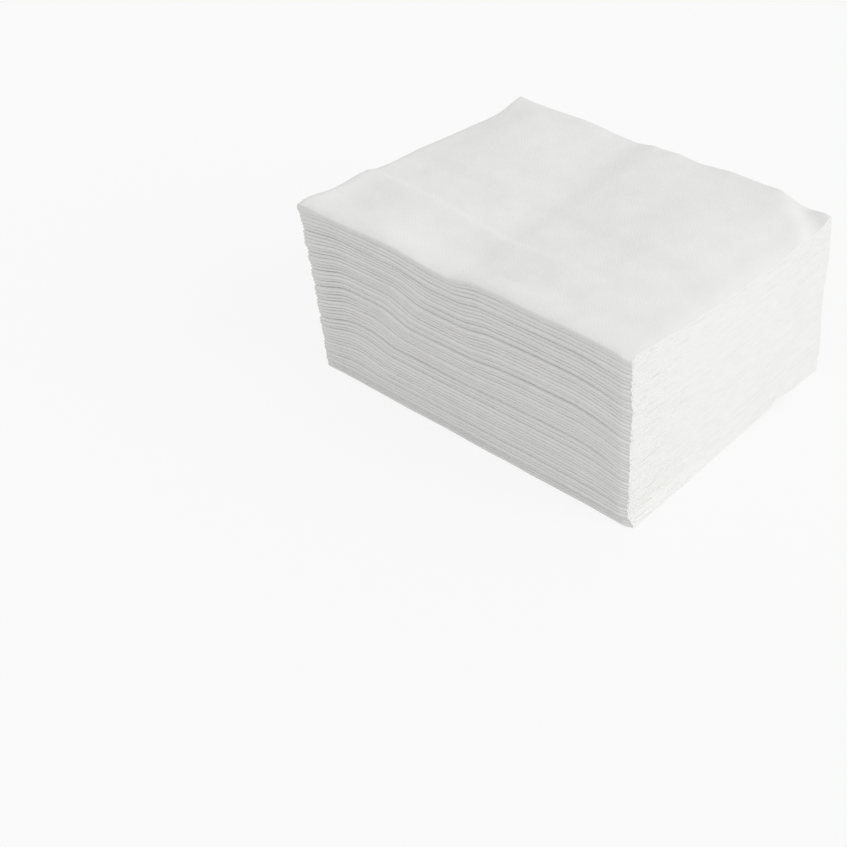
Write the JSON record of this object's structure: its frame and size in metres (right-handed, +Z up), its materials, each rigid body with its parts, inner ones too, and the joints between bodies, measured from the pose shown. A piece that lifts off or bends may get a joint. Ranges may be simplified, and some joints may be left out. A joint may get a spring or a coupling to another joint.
{
  "type": "stack of paper towels",
  "caption": "Stack of white folded disposable towels with soft fold edges along one long side, for drawing off one at a time.",
  "frame": {"origin": "middle of the underside of the bottom towel, on the surface that the stack rests on", "axes": "+X along the long side towards the cut edges at the right end, +Y from the folded front to the back, +Z up"},
  "size_m": [0.2603, 0.2012, 0.1199],
  "materials": {
    "towel": "matte, fibrous, finely ribbed"
  },
  "bodies": {
    "root": {"towel_01": "towel", "towel_02": "towel", "towel_03": "towel", "towel_04": "towel", "towel_05": "towel", "towel_06": "towel", "towel_07": "towel", "towel_08": "towel", "towel_09": "towel", "towel_10": "towel", "towel_11": "towel", "towel_12": "towel", "towel_13": "towel", "towel_14": "towel", "towel_15": "towel", "towel_16": "towel", "towel_17": "towel", "towel_18": "towel", "towel_19": "towel", "towel_20": "towel", "towel_21": "towel", "towel_22": "towel", "towel_23": "towel", "towel_24": "towel", "towel_25": "towel", "towel_26": "towel", "towel_27": "towel", "towel_28": "towel", "towel_29": "towel", "towel_30": "towel", "towel_31": "towel", "towel_32": "towel", "towel_33": "towel", "towel_34": "towel", "towel_35": "towel", "towel_36": "towel", "towel_37": "towel", "towel_38": "towel", "towel_39": "towel", "towel_40": "towel", "towel_41": "towel", "towel_42": "towel", "towel_43": "towel", "towel_44": "towel", "towel_45": "towel", "towel_46": "towel", "towel_47": "towel", "towel_48": "towel", "towel_49": "towel", "towel_50": "towel"}
  },
  "joints": []
}
